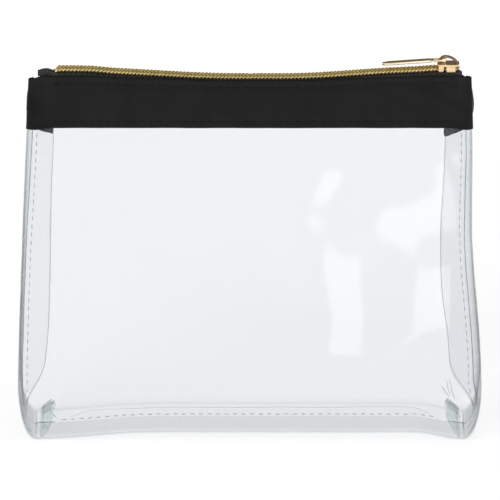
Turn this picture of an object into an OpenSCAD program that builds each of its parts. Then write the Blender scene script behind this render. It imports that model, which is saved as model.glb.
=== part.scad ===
// Clear zip pouch: a wedge-shaped wallet of clear film that stands on a boxed base, with cloth bands round
// its mouth and a coil zip between them. The zip slider's travel opens the back lip of the mouth.
// +X runs along the mouth, the front faces -Y and +Z is up. The origin is at the middle of the base.

/* [Pouch] */
// Widest part of the pouch, a little above its base
bag_width = 202.8; // [160:0.1:240]
// Width at the zip
mouth_width = 192; // [150:0.1:230]
// Width of the flat part of the base
floor_width = 186.8; // [140:0.1:220]
// Height at which the pouch is widest
belly_height = 24; // [16:1:40]
// Depth of the base from front fold to back fold
base_depth = 50; // [40:0.5:70]
// Depth between the outer faces of the film at the mouth
mouth_depth = 13.2; // [12:0.1:20]
// Height of the zip's middle plane above the floor
zip_height = 162; // [120:0.5:200]
// Thickness of the clear film
film = 0.6; // [0.4:0.1:1]
// Radius of the fold between wall and base
fold_radius = 3; // [2:0.5:5]
// Width of the seam allowances, which are turned to the inside
allowance = 9.5; // [6:0.5:12]

/* [Bands] */
// Height of the cloth bands
band_height = 24; // [16:0.5:34]
// Thickness of the band cloth
cloth = 0.6; // [0.4:0.1:0.8]
// Gap between cloth and film
cloth_gap = 0.15; // [0.1:0.05:0.3]
// How far the film reaches up inside the bands
film_overlap = 12; // [8:1:18]

/* [Zip] */
// Width of the closed chain
chain_width = 6; // [5:0.1:7]
// Thickness of the chain
chain_thick = 2.3; // [2:0.1:2.8]
// Length of the coil
coil_length = 176; // [130:1:190]
// Thickness of the woven tape
tape_thick = 0.6; // [0.4:0.1:0.8]
// Length of the tape
tape_length = 185; // [150:1:188]
// Where the stretch of the back lip that opens begins and ends, along X
open_from = -70; // [-80:1:-40]
open_to = 52; // [30:1:54]

/* [Slider] */
// Middle of the slider when the zip is closed
slider_x = 86.3; // [70:0.1:88]
// Length of the slider along the chain
slider_length = 9.6; // [8:0.1:12]
// Width of the slider across the chain
slider_width = 8; // [7.4:0.1:8.2]
// Thickness of the slider's two plates
plate = 1.1; // [0.8:0.1:1.4]
// Height of the bridge above the chain's middle plane
bridge_height = 6.2; // [5.8:0.1:8]
// Width of the bridge across the chain
bridge_width = 1.8; // [1.4:0.1:2.2]

/* [Pull] */
// Length of the pull from its pin to its tip
pull_length = 27.2; // [20:0.1:34]
// Width of the pull's bar
pull_width = 3.6; // [2.6:0.1:5]
// Thickness of the pull's bar
pull_thick = 1.2; // [1:0.1:1.6]
// Radius of the pin that passes under the bridge
pin_radius = 0.6; // [0.5:0.05:0.7]

/* [Hidden] */
run = 0.3;                                     // clearance between pieces that move past each other
seam_gap = 0.35;                               // half the gap between the two lips of a side seam
corner_steps = 6;                              // segments in each rounded corner of the outline
corner_radius = 8;                             // largest corner radius of the outline
big = 300;                                     // side of the cutting boxes
film_top = zip_height - band_height + film_overlap;
band_top = zip_height - 0.2;
band_bottom = zip_height - band_height;
split_low = fold_radius + 0.3;                 // top edge of the back half of the base
split_high = fold_radius + 0.9;                // bottom edge of the back wall
fin_bottom = 8;                                // where the side allowances begin
coil_gap = 0.5;                                // from the middle plane to a coil
tape_top = zip_height - chain_thick / 2 - 0.05;
tape_edge = 4.95;                              // from the middle plane to the outer face of the tape
tape_drop = 14;                                // how far the tape reaches down inside the band
coil_left = -85;                               // left end of the coil
thread = 0.3;                                  // thickness of the sewing thread
stitch_inset = 4.4;                            // from the folded edge of a seam to its stitches
pin_x = slider_x - 1.7;
pin_z = zip_height + 4;
plate_top = zip_height + chain_thick / 2 + run + plate;
tip_rise = chain_thick / 2 + run + 0.05 + pull_thick / 2;
pull_slope = asin((pin_z - zip_height - tip_rise) / pull_length);
levels = [0, fold_radius * 0.25, fold_radius, 8, 16, belly_height, 60, 110, zip_height];

// Half the outline's width and depth at a height
function half_width(z) = z < belly_height
    ? bag_width / 2 - (bag_width - floor_width) / 2 * (1 - sqrt(1 - pow(1 - z / belly_height, 2)))
    : bag_width / 2 - (bag_width - mouth_width) / 2
        * pow((z - belly_height) / (zip_height - belly_height), 1.2);
function half_depth(z) = z < fold_radius
    ? base_depth / 2 - fold_radius * (1 - sqrt(1 - pow(1 - z / fold_radius, 2)))
    : base_depth / 2 - (base_depth - mouth_depth) / 2 * (z - fold_radius) / (zip_height - fold_radius);

// The rounded outline at a height, grown outwards by a margin, as a ring of points at another height
function ring(z, margin, at) = let (
    w = half_width(z) + margin,
    d = half_depth(z) + margin,
    r = min(corner_radius, half_depth(z) - 1) + margin
) [for (corner = [0:3], step = [0:corner_steps])
    let (
        angle = corner * 90 + step * 90 / corner_steps,
        sx = corner == 0 || corner == 3 ? 1 : -1,
        sy = corner < 2 ? 1 : -1
    ) [sx * (w - r) + r * cos(angle), sy * (d - r) + r * sin(angle), at]];

// A solid through rings that all have the same number of points
module loft(rings) {
    n = len(rings[0]);
    last = len(rings) - 1;
    sides = [for (i = [0:last - 1], j = [0:n - 1]) let (k = (j + 1) % n)
        each [[i * n + j, i * n + n + j, i * n + k], [i * n + n + j, i * n + n + k, i * n + k]]];
    polyhedron(
        points = [for (one = rings) each one],
        faces = concat([[for (j = [0:n - 1]) j]], sides, [[for (j = [n - 1:-1:0]) last * n + j]])
    );
}

// The pouch's outline as a solid, grown by a margin, with its floor lifted
module pouch_solid(margin, lift) {
    loft([for (z = levels) ring(z, margin, z < belly_height / 2 ? max(z, lift + z / 4) : z)]);
}

// The clear film between two heights, as an open shell
module film_shell(from, to) {
    intersection() {
        difference() {
            pouch_solid(0, 0);
            pouch_solid(-film, film);
        }
        translate([-big / 2, -big / 2, from]) cube([big, big, to - from]);
    }
}

// The part of a shape in front of or behind a plane at y
module in_front_of(y) {
    intersection() {
        children();
        translate([-big / 2, y - big, -1]) cube([big, big, big]);
    }
}
module behind(y) {
    intersection() {
        children();
        translate([-big / 2, y, -1]) cube([big, big, big]);
    }
}

// A flat outline drawn in X and Z, stood upright from y with a thickness
module upright(y, thick) {
    translate([0, y + thick, 0]) rotate([90, 0, 0]) linear_extrude(thick) children();
}

// A strip that follows the side of the pouch, between two distances in from it
module side_strip(side, from, to, low, high) {
    heights = [low, 16, belly_height, 60, 110, high];
    polygon(concat(
        [for (z = heights) [side * (half_width(z) - from), z]],
        [for (i = [len(heights) - 1:-1:0]) [side * (half_width(heights[i]) - to), heights[i]]]
    ));
}

// The allowances of one panel, turned in at both sides of the pouch
module side_fins(y) {
    for (side = [-1, 1]) upright(y, film)
        side_strip(side, film / 2, allowance, fin_bottom, band_bottom - cloth_gap);
}

// The allowance of a base seam or a corner seam, folded over the base
module base_flap(y, low) {
    span = floor_width - 16;
    translate([-span / 2, y, 0]) cube([span, film, low + film]);
    translate([-span / 2, y, low]) cube([span, allowance, film]);
}
module corner_flap(side, from, to) {
    foot = floor_width / 2 - 1;
    translate([side > 0 ? foot - film : -foot, from, 0]) cube([film, to - from, 2.9]);
    translate([side > 0 ? foot - allowance : -foot, from, 2.3]) cube([allowance, to - from, film]);
}

module front_panel() {
    color("gainsboro", 0.35) {
        in_front_of(0) film_shell(0, fold_radius + 0.6);
        in_front_of(-seam_gap) film_shell(fold_radius, film_top);
        side_fins(-seam_gap - film);
        base_flap(-film, 1.45);
        for (side = [-1, 1]) corner_flap(side, -20, -1);
    }
}

module back_panel() {
    color("gainsboro", 0.35) {
        behind(seam_gap) film_shell(split_high, film_top);
        side_fins(seam_gap);
    }
}

module back_base() {
    color("gainsboro", 0.35) {
        behind(0.05) film_shell(0, split_low);
        base_flap(0.05, 0.75);
        for (side = [-1, 1]) corner_flap(side, 1 + allowance, 20);
    }
}

// A cloth band folded over the top edge of the film: outer layer, folded top and inner layer
module band_ring() {
    outer = cloth_gap + cloth;
    inner = -film - cloth_gap - cloth;
    difference() {
        intersection() {
            pouch_solid(outer, 0);
            translate([-big / 2, -big / 2, band_bottom]) cube([big, big, band_top - band_bottom]);
        }
        pouch_solid(inner, 0);
        intersection() {
            difference() {
                pouch_solid(cloth_gap, 0);
                pouch_solid(-film - cloth_gap, 0);
            }
            translate([-big / 2, -big / 2, 0]) cube([big, big, film_top + cloth_gap]);
        }
    }
}

module front_band() {
    color("black") in_front_of(-seam_gap) band_ring();
}

module back_band() {
    color("black") behind(seam_gap) band_ring();
}

// One woven tape between two places along X: a strip under the coil that turns down inside the band
module tape(side, from, to) {
    translate([from, 0, 0]) rotate([90, 0, 90]) linear_extrude(to - from) {
        polygon([
            [side * coil_gap, tape_top],
            [side * tape_edge, tape_top],
            [side * tape_edge, tape_top - tape_drop],
            [side * (tape_edge - tape_thick), tape_top - tape_drop],
            [side * (tape_edge - tape_thick), tape_top - tape_thick],
            [side * coil_gap, tape_top - tape_thick]
        ]);
    }
}

module front_tape() {
    color("black") tape(-1, -tape_length / 2, tape_length / 2);
}

module back_tape() {
    color("black") tape(1, open_from, open_to);
}

module back_tape_ends() {
    color("black") {
        tape(1, -tape_length / 2, open_from - run);
        tape(1, open_to + run, tape_length / 2);
    }
}

// One coil between two places along X, as a bar with rounded upper edges
module coil(side, from, to) {
    round_edge = 0.6;
    inner = coil_gap;
    outer = chain_width / 2;
    low = zip_height - chain_thick / 2;
    high = zip_height + chain_thick / 2;
    translate([from, 0, 0]) rotate([90, 0, 90]) linear_extrude(to - from) {
        translate([side > 0 ? inner : -outer, low]) square([outer - inner, chain_thick - round_edge]);
        translate([side > 0 ? inner : -outer + round_edge, low])
            square([outer - inner - round_edge, high - low]);
        translate([side * (outer - round_edge), high - round_edge]) circle(round_edge, $fn = 24);
    }
}

module front_coil() {
    color("goldenrod") coil(-1, coil_left, coil_left + coil_length);
}

module back_coil() {
    color("goldenrod") coil(1, open_from, open_to);
}

module back_coil_ends() {
    color("goldenrod") {
        coil(1, coil_left, open_from - run);
        coil(1, open_to + run, coil_left + coil_length);
    }
}

// The slider's outline seen from above: a blunt heart, wider at the nose where the coils part
module slider_outline() {
    tail = slider_width / 2 - 0.2;
    nose = slider_width / 2;
    offset_x = slider_length / 2;
    polygon([
        [-offset_x, -tail], [offset_x - 2.6, -nose], [offset_x - 1, -nose + 0.5],
        [offset_x, -nose + 1.6], [offset_x, nose - 1.6], [offset_x - 1, nose - 0.5],
        [offset_x - 2.6, nose], [-offset_x, tail]
    ]);
}

module slider_body() {
    lip_inner = chain_width / 2 + run;
    top = plate_top;
    slot_top = tape_top + run;
    slot_low = tape_top - tape_thick - run;
    color("goldenrod") translate([slider_x, 0, 0]) {
        translate([0, 0, top - plate]) linear_extrude(plate) slider_outline();
        translate([0, 0, slot_low - plate]) linear_extrude(plate) slider_outline();
        translate([0, 0, slot_top]) linear_extrude(top - plate / 2 - slot_top) difference() {
            slider_outline();
            square([slider_length * 2, lip_inner * 2], center = true);
        }
        translate([slider_length / 2 - 4, -0.2, slot_low - plate / 2])
            cube([3.6, 0.4, top - slot_low]);
    }
}

// The arched bridge on the slider's top plate, cut from side-view outlines
module bridge_outline(inset) {
    crown = [-1.9, bridge_height - 2.45];
    foot = plate_top - zip_height - 0.2;
    translate(crown) circle(2.45 - inset, $fn = 48);
    polygon([
        [crown[0] - 2.45 + inset, crown[1]], [crown[0] - 2.3 + inset, foot],
        [slider_length / 2 - 0.3 - inset * 1.5, foot], [slider_length / 2 - 0.8 - inset * 1.5, foot + 0.6],
        [crown[0] + 1.4 - inset * 0.5, crown[1] + 2 - inset * 0.8]
    ]);
}

module slider_bridge() {
    color("sienna") translate([slider_x, bridge_width / 2, zip_height]) rotate([90, 0, 0])
        linear_extrude(bridge_width) intersection() {
            difference() {
                bridge_outline(0);
                bridge_outline(1);
            }
            translate([-slider_length, plate_top - zip_height]) square(slider_length * 2);
        }
}

// The pull lies back over the closed chain: a flat bar, a yoke astride the bridge and the pin in its window
module pull_tab() {
    arm_inner = bridge_width / 2 + run;
    arm_outer = arm_inner + 0.8;
    arm_reach = 4.3;
    eye_radius = 1.0;
    neck = 0.9;
    color("gold") translate([pin_x, 0, pin_z]) rotate([0, -pull_slope, 0]) {
        rotate([90, 0, 0]) cylinder(r = pin_radius, h = arm_outer * 2, center = true, $fn = 32);
        for (side = [-1, 1]) {
            translate([0, side * (arm_inner + arm_outer) / 2, 0]) rotate([90, 0, 0])
                cylinder(r = eye_radius, h = arm_outer - arm_inner, center = true, $fn = 32);
            translate([-arm_reach - 0.8, side > 0 ? arm_inner : -arm_outer, -neck / 2])
                cube([arm_reach + 0.8, arm_outer - arm_inner, neck]);
        }
        translate([-arm_reach - 1, -arm_outer, -neck / 2]) cube([1, arm_outer * 2, neck]);
        translate([-pull_length, -pull_width / 2, -pull_thick / 2])
            cube([pull_length - arm_reach - 0.9, pull_width, pull_thick]);
    }
}

// Rows of stitching, each as one fine line of thread lying on the cloth or film that it holds
module side_seam(side) {
    color("whitesmoke") upright(-seam_gap - film - thread, thread)
        side_strip(side, stitch_inset, stitch_inset + thread, fin_bottom + 2, band_bottom - 1);
}
module side_seam_left() { side_seam(-1); }
module side_seam_right() { side_seam(1); }

module base_seam() {
    span = floor_width - 18;
    color("whitesmoke") translate([-span / 2, stitch_inset, 1.45 + film]) cube([span, thread, thread]);
}

module corner_seam(side) {
    foot = floor_width / 2 - 1 - stitch_inset;
    color("whitesmoke") {
        translate([side * foot - thread / 2, -19, 2.9]) cube([thread, 17, thread]);
        translate([side * foot - thread / 2, 2 + allowance, 2.9]) cube([thread, 17 - allowance, thread]);
    }
}
module corner_seam_left() { corner_seam(-1); }
module corner_seam_right() { corner_seam(1); }

// A row along the outside of a band, at a height, where the wall leans back
module band_row(side, z) {
    span = mouth_width - 18;
    out = half_depth(z) + cloth_gap + cloth;
    color("dimgray") translate([-span / 2, side > 0 ? out : -out - thread, z])
        cube([span, thread, thread]);
}
module front_hem_stitch() { band_row(-1, band_bottom + 2.8); }
module front_top_stitch() { band_row(-1, band_top - 2); }
module back_hem_stitch() { band_row(1, band_bottom + 2.8); }
module back_top_stitch() { band_row(1, band_top - 2); }

// The rows that hold the tapes lie on the inner faces of the tapes' hanging parts
module tape_row(side, from, to) {
    inner = tape_edge - tape_thick;
    color("dimgray") translate([from, side > 0 ? inner - thread : -inner, tape_top - 6])
        cube([to - from, thread, thread]);
}
module front_tape_stitch() { tape_row(-1, -tape_length / 2 + 2, tape_length / 2 - 2); }
module back_tape_stitch() { tape_row(1, open_from + 1, open_to - 1); }

front_panel();
back_panel();
back_base();
front_band();
back_band();
front_tape();
back_tape();
back_tape_ends();
front_coil();
back_coil();
back_coil_ends();
slider_body();
slider_bridge();
pull_tab();
side_seam_left();
side_seam_right();
base_seam();
corner_seam_left();
corner_seam_right();
front_hem_stitch();
front_top_stitch();
back_hem_stitch();
back_top_stitch();
front_tape_stitch();
back_tape_stitch();
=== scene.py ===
import math
import bpy
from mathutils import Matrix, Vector, noise


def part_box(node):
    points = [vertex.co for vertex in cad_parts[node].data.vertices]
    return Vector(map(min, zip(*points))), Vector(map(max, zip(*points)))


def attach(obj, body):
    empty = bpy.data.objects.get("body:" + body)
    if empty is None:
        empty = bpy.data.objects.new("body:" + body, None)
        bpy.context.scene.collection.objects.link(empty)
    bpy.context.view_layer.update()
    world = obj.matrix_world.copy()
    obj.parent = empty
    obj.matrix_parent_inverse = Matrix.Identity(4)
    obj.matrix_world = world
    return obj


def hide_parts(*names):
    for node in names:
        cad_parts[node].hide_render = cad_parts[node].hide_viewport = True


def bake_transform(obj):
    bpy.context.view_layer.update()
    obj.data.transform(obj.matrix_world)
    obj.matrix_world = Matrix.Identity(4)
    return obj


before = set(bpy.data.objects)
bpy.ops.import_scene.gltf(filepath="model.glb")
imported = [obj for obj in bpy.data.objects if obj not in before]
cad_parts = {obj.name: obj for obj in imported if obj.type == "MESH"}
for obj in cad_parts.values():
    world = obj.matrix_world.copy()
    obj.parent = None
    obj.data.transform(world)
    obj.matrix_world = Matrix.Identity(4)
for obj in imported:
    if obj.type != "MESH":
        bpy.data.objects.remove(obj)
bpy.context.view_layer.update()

mm = 0.001
scene = bpy.context.scene
print("stage: frame loaded")

camera = {
    "elevation": 16.0, "distance": 6.0, "seenWidth": 218.5 * mm, "lookHeight": 79.7 * mm, "sensor": 36.0,
}
room = {"floorSize": 120.0, "worldFront": 0.98, "worldTop": 0.32, "worldBack": 0.13}


def aimAt(item, target):
    item.rotation_euler = (Vector(target) - item.location).to_track_quat("-Z", "Y").to_euler()


def makeCamera():
    tilt = math.radians(camera["elevation"])
    lensData = bpy.data.cameras.new("pouchCamera")
    lensData.sensor_width = camera["sensor"]
    lensData.lens = camera["sensor"] * camera["distance"] / camera["seenWidth"]
    lensData.clip_end = 50
    item = bpy.data.objects.new("pouchCamera", lensData)
    scene.collection.objects.link(item)
    reach = camera["distance"]
    target = Vector((0, 0, camera["lookHeight"]))
    item.location = target + Vector((0, -math.cos(tilt) * reach, math.sin(tilt) * reach))
    aimAt(item, target)
    scene.camera = item


def makeLight(name, place, target, size, power, seenInGloss=True):
    data = bpy.data.lights.new(name, "AREA")
    data.shape = "RECTANGLE"
    data.size, data.size_y = size
    data.energy = power
    item = bpy.data.objects.new(name, data)
    scene.collection.objects.link(item)
    item.location = place
    item.visible_glossy = seenInGloss
    item.visible_camera = False
    aimAt(item, target)


def makeWorld():
    world = bpy.data.worlds.new("studio")
    scene.world = world
    world.use_nodes = True
    tree = world.node_tree
    background = tree.nodes["Background"]
    background.inputs["Color"].default_value = (1, 1, 1, 1)
    where = addNode(tree, "ShaderNodeTexCoord")
    split = addNode(tree, "ShaderNodeSeparateXYZ")
    smooth = {"interpolation_type": "SMOOTHSTEP"}
    ramp = addNode(tree, "ShaderNodeMapRange", smooth, {  # bright towards the viewer, dimmer behind the pouch
        "From Min": -0.5, "From Max": 0.75, "To Min": room["worldFront"], "To Max": room["worldBack"]})
    # the ceiling is dimmer
    high = addNode(tree, "ShaderNodeMapRange", smooth, {"From Min": 0.45, "From Max": 0.9})
    blend = addNode(tree, "ShaderNodeMix", {"data_type": "FLOAT"}, {"B": room["worldTop"]})
    tree.links.new(where.outputs["Generated"], split.inputs[0])
    tree.links.new(split.outputs["Y"], ramp.inputs["Value"])
    tree.links.new(split.outputs["Z"], high.inputs["Value"])
    tree.links.new(high.outputs["Result"], blend.inputs["Factor"])
    tree.links.new(ramp.outputs["Result"], blend.inputs["A"])
    tree.links.new(blend.outputs["Result"], background.inputs["Strength"])


def makeRoom():
    makeWorld()
    makeLight("keyLight", (-0.9, -1.5, 1.3), (0, 0, 0.08), (0.9, 0.9), 9, False)
    makeLight("lowWindow", (0.125, -0.9, 0.035), (0.08, 0, 0.06), (0.12, 0.09), 0.085)
    makeLight("rimLight", (0.5, 1.6, 1.1), (0, 0, 0.1), (0.8, 0.6), 4, False)
    half = room["floorSize"] / 2
    data = bpy.data.meshes.new("paperFloor")
    corners = [(-half, -half, 0), (half, -half, 0), (half, half, 0), (-half, half, 0)]
    data.from_pydata(corners, [], [(0, 1, 2, 3)])
    floor = bpy.data.objects.new("paperFloor", data)
    scene.collection.objects.link(floor)
    floor.data.materials.append(paperFloor())
    scene.view_settings.view_transform = "Standard"
    scene.cycles.transparent_max_bounces = 64
    scene.cycles.use_denoising = True


def newMaterial(name):
    made = bpy.data.materials.new(name)
    made.use_nodes = True
    tree = made.node_tree
    return made, tree, tree.nodes["Principled BSDF"], tree.nodes["Material Output"]


def setValues(node, values):
    for key, value in values.items():
        node.inputs[key].default_value = value


def addNode(tree, kind, settings=None, values=None):
    made = tree.nodes.new(kind)
    for key, value in (settings or {}).items():
        setattr(made, key, value)
    setValues(made, values or {})
    return made


def addMath(tree, operation, *parts, clamp=False):
    # each part is a number or the output that feeds it
    made = addNode(tree, "ShaderNodeMath", {"operation": operation, "use_clamp": clamp})
    for i, part in enumerate(parts):
        if isinstance(part, (int, float)):
            made.inputs[i].default_value = part
        else:
            tree.links.new(part, made.inputs[i])
    return made.outputs[0]


def mixShaders(tree, factor, first, second):
    made = addNode(tree, "ShaderNodeMixShader")
    tree.links.new(factor, made.inputs[0])
    tree.links.new(first.outputs[0], made.inputs[1])
    tree.links.new(second.outputs[0], made.inputs[2])
    return made


def newGroup(name, inputs, outputs):
    group = bpy.data.node_groups.new(name, "ShaderNodeTree")
    for title, kind, value in inputs:
        socket = group.interface.new_socket(title, in_out="INPUT", socket_type=kind)
        socket.default_value = value
    for title, kind in outputs:
        group.interface.new_socket(title, in_out="OUTPUT", socket_type=kind)
    return group, group.nodes.new("NodeGroupInput"), group.nodes.new("NodeGroupOutput")


def useGroup(tree, group, values):
    made = tree.nodes.new("ShaderNodeGroup")
    made.node_tree = group
    setValues(made, values)
    return made


def makeMottle():
    # slow and fast noise in one: a mask of 0 to 1 for colour and gloss, and a height
    group, enter, leave = newGroup(
        "mottle",
        [("Scale", "NodeSocketFloat", 200.0), ("Contrast", "NodeSocketFloat", 1.0)],
        [("Mask", "NodeSocketFloat"), ("Height", "NodeSocketFloat")])
    where = addNode(group, "ShaderNodeTexCoord")
    coarse = addNode(group, "ShaderNodeTexNoise", values={"Detail": 4.0, "Roughness": 0.6})
    fine = addNode(group, "ShaderNodeTexNoise", values={"Detail": 2.0})
    for texture in (coarse, fine):
        group.links.new(where.outputs["Object"], texture.inputs["Vector"])
    group.links.new(enter.outputs["Scale"], coarse.inputs["Scale"])
    group.links.new(addMath(group, "MULTIPLY", enter.outputs["Scale"], 7.0), fine.inputs["Scale"])
    centred = addMath(group, "SUBTRACT", coarse.outputs["Fac"], 0.5)
    spread = addMath(group, "MULTIPLY_ADD", centred, enter.outputs["Contrast"], 0.5, clamp=True)
    group.links.new(spread, leave.inputs["Mask"])
    group.links.new(fine.outputs["Fac"], leave.inputs["Height"])
    return group


def makeWeave():
    # two crossing sets of fine threads, with a mask that is bright on the thread crowns and dark in the gaps;
    # used as colour it paints light on the crowns and shade between the threads
    group, enter, leave = newGroup(
        "weave",
        [("Threads", "NodeSocketFloat", 1500.0), ("Slant", "NodeSocketFloat", 0.6)],
        [("CrownLightGapShade", "NodeSocketFloat"), ("Height", "NodeSocketFloat")])
    where = addNode(group, "ShaderNodeTexCoord")
    apart = addNode(group, "ShaderNodeSeparateXYZ")
    group.links.new(where.outputs["Object"], apart.inputs[0])
    lean = addMath(group, "MULTIPLY_ADD", apart.outputs["Z"], enter.outputs["Slant"], apart.outputs["X"])
    depth = addMath(group, "ADD", apart.outputs["Z"], apart.outputs["Y"])
    waves = []
    for source in (lean, depth):
        waves.append(addMath(group, "SINE", addMath(group, "MULTIPLY", source, enter.outputs["Threads"])))
    level = addMath(group, "MULTIPLY_ADD", addMath(group, "ADD", *waves), 0.25, 0.5)
    group.links.new(level, leave.inputs["CrownLightGapShade"])
    group.links.new(level, leave.inputs["Height"])
    return group


mottle = makeMottle()
weave = makeWeave()


def blendColours(tree, factor, first, second):
    made = addNode(tree, "ShaderNodeMix", {"data_type": "RGBA"}, {"A": (*first, 1), "B": (*second, 1)})
    tree.links.new(factor, made.inputs["Factor"])
    return made.outputs["Result"]


def blendValues(tree, factor, low, high):
    made = addNode(tree, "ShaderNodeMapRange", values={"To Min": low, "To Max": high})
    tree.links.new(factor, made.inputs["Value"])
    return made.outputs["Result"]


def addBump(tree, shader, height, strength, distance):
    bump = addNode(tree, "ShaderNodeBump", values={"Strength": strength, "Distance": distance})
    tree.links.new(height, bump.inputs["Height"])
    tree.links.new(bump.outputs["Normal"], shader.inputs["Normal"])


def paperFloor():
    look = {"white": (0.93, 0.93, 0.93), "shade": (0.90, 0.90, 0.90), "glow": 0.46}
    made, tree, shader, _ = newMaterial("paperFloor")
    grain = useGroup(tree, mottle, {"Scale": 3.0, "Contrast": 0.6})
    tree.links.new(blendColours(tree, grain.outputs["Mask"], look["shade"], look["white"]),
                   shader.inputs["Base Color"])
    setValues(shader, {"Roughness": 0.95, "Specular IOR Level": 0.0,
                       "Emission Color": (1, 1, 1, 1), "Emission Strength": look["glow"]})
    return made


def clearFilm(name, look):
    # lets light through with a faint tint; where the film is seen along its face the tint deepens into a
    # painted darkness that stands in for the dark room reflected in the film
    made, tree, shader, output = newMaterial(name)
    haze = useGroup(tree, mottle, {"Scale": look["hazeScale"], "Contrast": 1.6})
    facing = addNode(tree, "ShaderNodeLayerWeight", values={"Blend": 0.5}).outputs["Facing"]
    # along: the painted dark edge, strongest at grazing angles, standing in for reflected shade
    along = addMath(tree, "POWER", facing, look["edgePower"])
    through = addNode(tree, "ShaderNodeBsdfTransparent")
    tree.links.new(blendColours(tree, along, look["clear"], look["along"]), through.inputs["Color"])
    gloss = addNode(tree, "ShaderNodeBsdfGlossy", values={"Roughness": look["gloss"]})
    steep = addMath(tree, "POWER", facing, 6.0)
    mirror = addMath(tree, "MULTIPLY_ADD", steep, look["mirrorEdge"], look["mirror"])
    surface = mixShaders(tree, mirror, through, gloss)
    setValues(shader, {"Base Color": (*look["body"], 1), "Roughness": 0.5})
    cloudy = blendValues(tree, haze.outputs["Mask"], look["hazeLow"], look["hazeHigh"])
    cloud = mixShaders(tree, cloudy, surface, shader)
    tree.links.new(cloud.outputs[0], output.inputs["Surface"])
    bump = addNode(tree, "ShaderNodeBump", values={"Strength": look["ripple"], "Distance": 0.0004})
    ripple = addNode(tree, "ShaderNodeTexNoise", values={"Scale": 28.0, "Detail": 2.0})
    where = addNode(tree, "ShaderNodeTexCoord")
    tree.links.new(where.outputs["Object"], ripple.inputs["Vector"])
    tree.links.new(ripple.outputs["Fac"], bump.inputs["Height"])
    tree.links.new(bump.outputs["Normal"], gloss.inputs["Normal"])
    return made


def satinCloth():
    # deep is the satin's black; the lighter colour in soft random patches is a painted sheen standing in for
    # soft highlights on the cloth
    look = {"deep": (0.0020, 0.0017, 0.0018), "paintedSheen": (0.0054, 0.0046, 0.0048), "sheen": 0.02}
    made, tree, shader, _ = newMaterial("satinCloth")
    threads = useGroup(tree, weave, {"Threads": 9000.0, "Slant": 0.5})
    patches = useGroup(tree, mottle, {"Scale": 60.0, "Contrast": 1.8})
    tree.links.new(blendColours(tree, patches.outputs["Mask"], look["deep"], look["paintedSheen"]),
                   shader.inputs["Base Color"])
    tree.links.new(blendValues(tree, patches.outputs["Mask"], 0.54, 0.38), shader.inputs["Roughness"])
    setValues(shader, {"Sheen Weight": look["sheen"], "Sheen Roughness": 0.5, "Specular IOR Level": 0.20})
    addBump(tree, shader, threads.outputs["Height"], 0.25, 0.00008)
    return made


def wovenTape():
    # gap is a painted shade colour for the hollows between the threads; thread is the tape's own black
    look = {"gap": (0.006, 0.006, 0.007), "thread": (0.022, 0.021, 0.022)}
    made, tree, shader, _ = newMaterial("wovenTape")
    threads = useGroup(tree, weave, {"Threads": 5200.0, "Slant": 1.0})
    tree.links.new(blendColours(tree, threads.outputs["CrownLightGapShade"], look["gap"], look["thread"]),
                   shader.inputs["Base Color"])
    setValues(shader, {"Roughness": 0.78, "Sheen Weight": 0.1})
    addBump(tree, shader, threads.outputs["Height"], 0.6, 0.00012)
    return made


def goldMetal(name, bright, dull, roughLow, roughHigh, metal=1.0):
    # plated metal: its tone and gloss shift slowly, with a fine bump that softens the reflections
    made, tree, shader, _ = newMaterial(name)
    patches = useGroup(tree, mottle, {"Scale": 420.0, "Contrast": 2.0})
    tree.links.new(blendColours(tree, patches.outputs["Mask"], dull, bright), shader.inputs["Base Color"])
    tree.links.new(blendValues(tree, patches.outputs["Mask"], roughHigh, roughLow),
                   shader.inputs["Roughness"])
    shader.inputs["Metallic"].default_value = metal
    addBump(tree, shader, patches.outputs["Height"], 0.12, 0.00006)
    return made


def sewingThread(name, colour, sheen):
    made, tree, shader, _ = newMaterial(name)
    twist = useGroup(tree, mottle, {"Scale": 900.0, "Contrast": 2.0})
    darker = tuple(part * 0.6 for part in colour)
    tree.links.new(blendColours(tree, twist.outputs["Mask"], darker, colour), shader.inputs["Base Color"])
    setValues(shader, {"Roughness": 0.6, "Sheen Weight": sheen, "Specular IOR Level": 0.12})
    addBump(tree, shader, twist.outputs["Height"], 0.5, 0.0001)
    return made


filmLook = {
    # along is a painted dark edge tint that stands in for the dark room reflected at grazing angles
    "clear": (0.972, 0.974, 0.979), "along": (0.24, 0.29, 0.29), "body": (0.80, 0.84, 0.86),
    "edgePower": 7.0, "gloss": 0.05, "mirror": 0.022, "mirrorEdge": 0.26,
    "hazeScale": 14.0, "hazeLow": 0.004, "hazeHigh": 0.022, "ripple": 0.5,
}
film = clearFilm("clearFilm", filmLook)
otherFilms = {  # what each part of the film changes in filmLook
    "flapFilm": {"clear": (0.997, 0.998, 0.999), "edgePower": 30.0, "mirror": 0.004, "mirrorEdge": 0.01,
                 "hazeScale": 90.0, "hazeLow": 0.0, "hazeHigh": 0.015},
    "baseFilm": {"clear": (0.992, 0.993, 0.994), "edgePower": 13.0, "mirror": 0.008, "mirrorEdge": 0.10,
                 "hazeHigh": 0.012},
    "cornerFilm": {"clear": (0.970, 0.984, 0.980), "edgePower": 14.0, "mirror": 0.01, "mirrorEdge": 0.05,
                   "hazeScale": 150.0, "hazeLow": 0.0, "hazeHigh": 0.16},
    # the darker tint of the film's cut edges, also used for the ribs that paint the shade along the folds
    "filmEdgeAndFoldShade": {"clear": (0.66, 0.71, 0.72), "along": (0.30, 0.34, 0.36), "edgePower": 3.0,
                 "hazeLow": 0.10, "hazeHigh": 0.22},
    "paleEdge": {"clear": (0.86, 0.88, 0.89), "along": (0.55, 0.60, 0.61), "edgePower": 3.0,
                 "hazeLow": 0.05, "hazeHigh": 0.15},
    "joinFilm": {"clear": (1, 1, 1), "along": (1, 1, 1), "mirror": 0.0, "mirrorEdge": 0.0,
                 "hazeLow": 0.0, "hazeHigh": 0.002},
}
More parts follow.
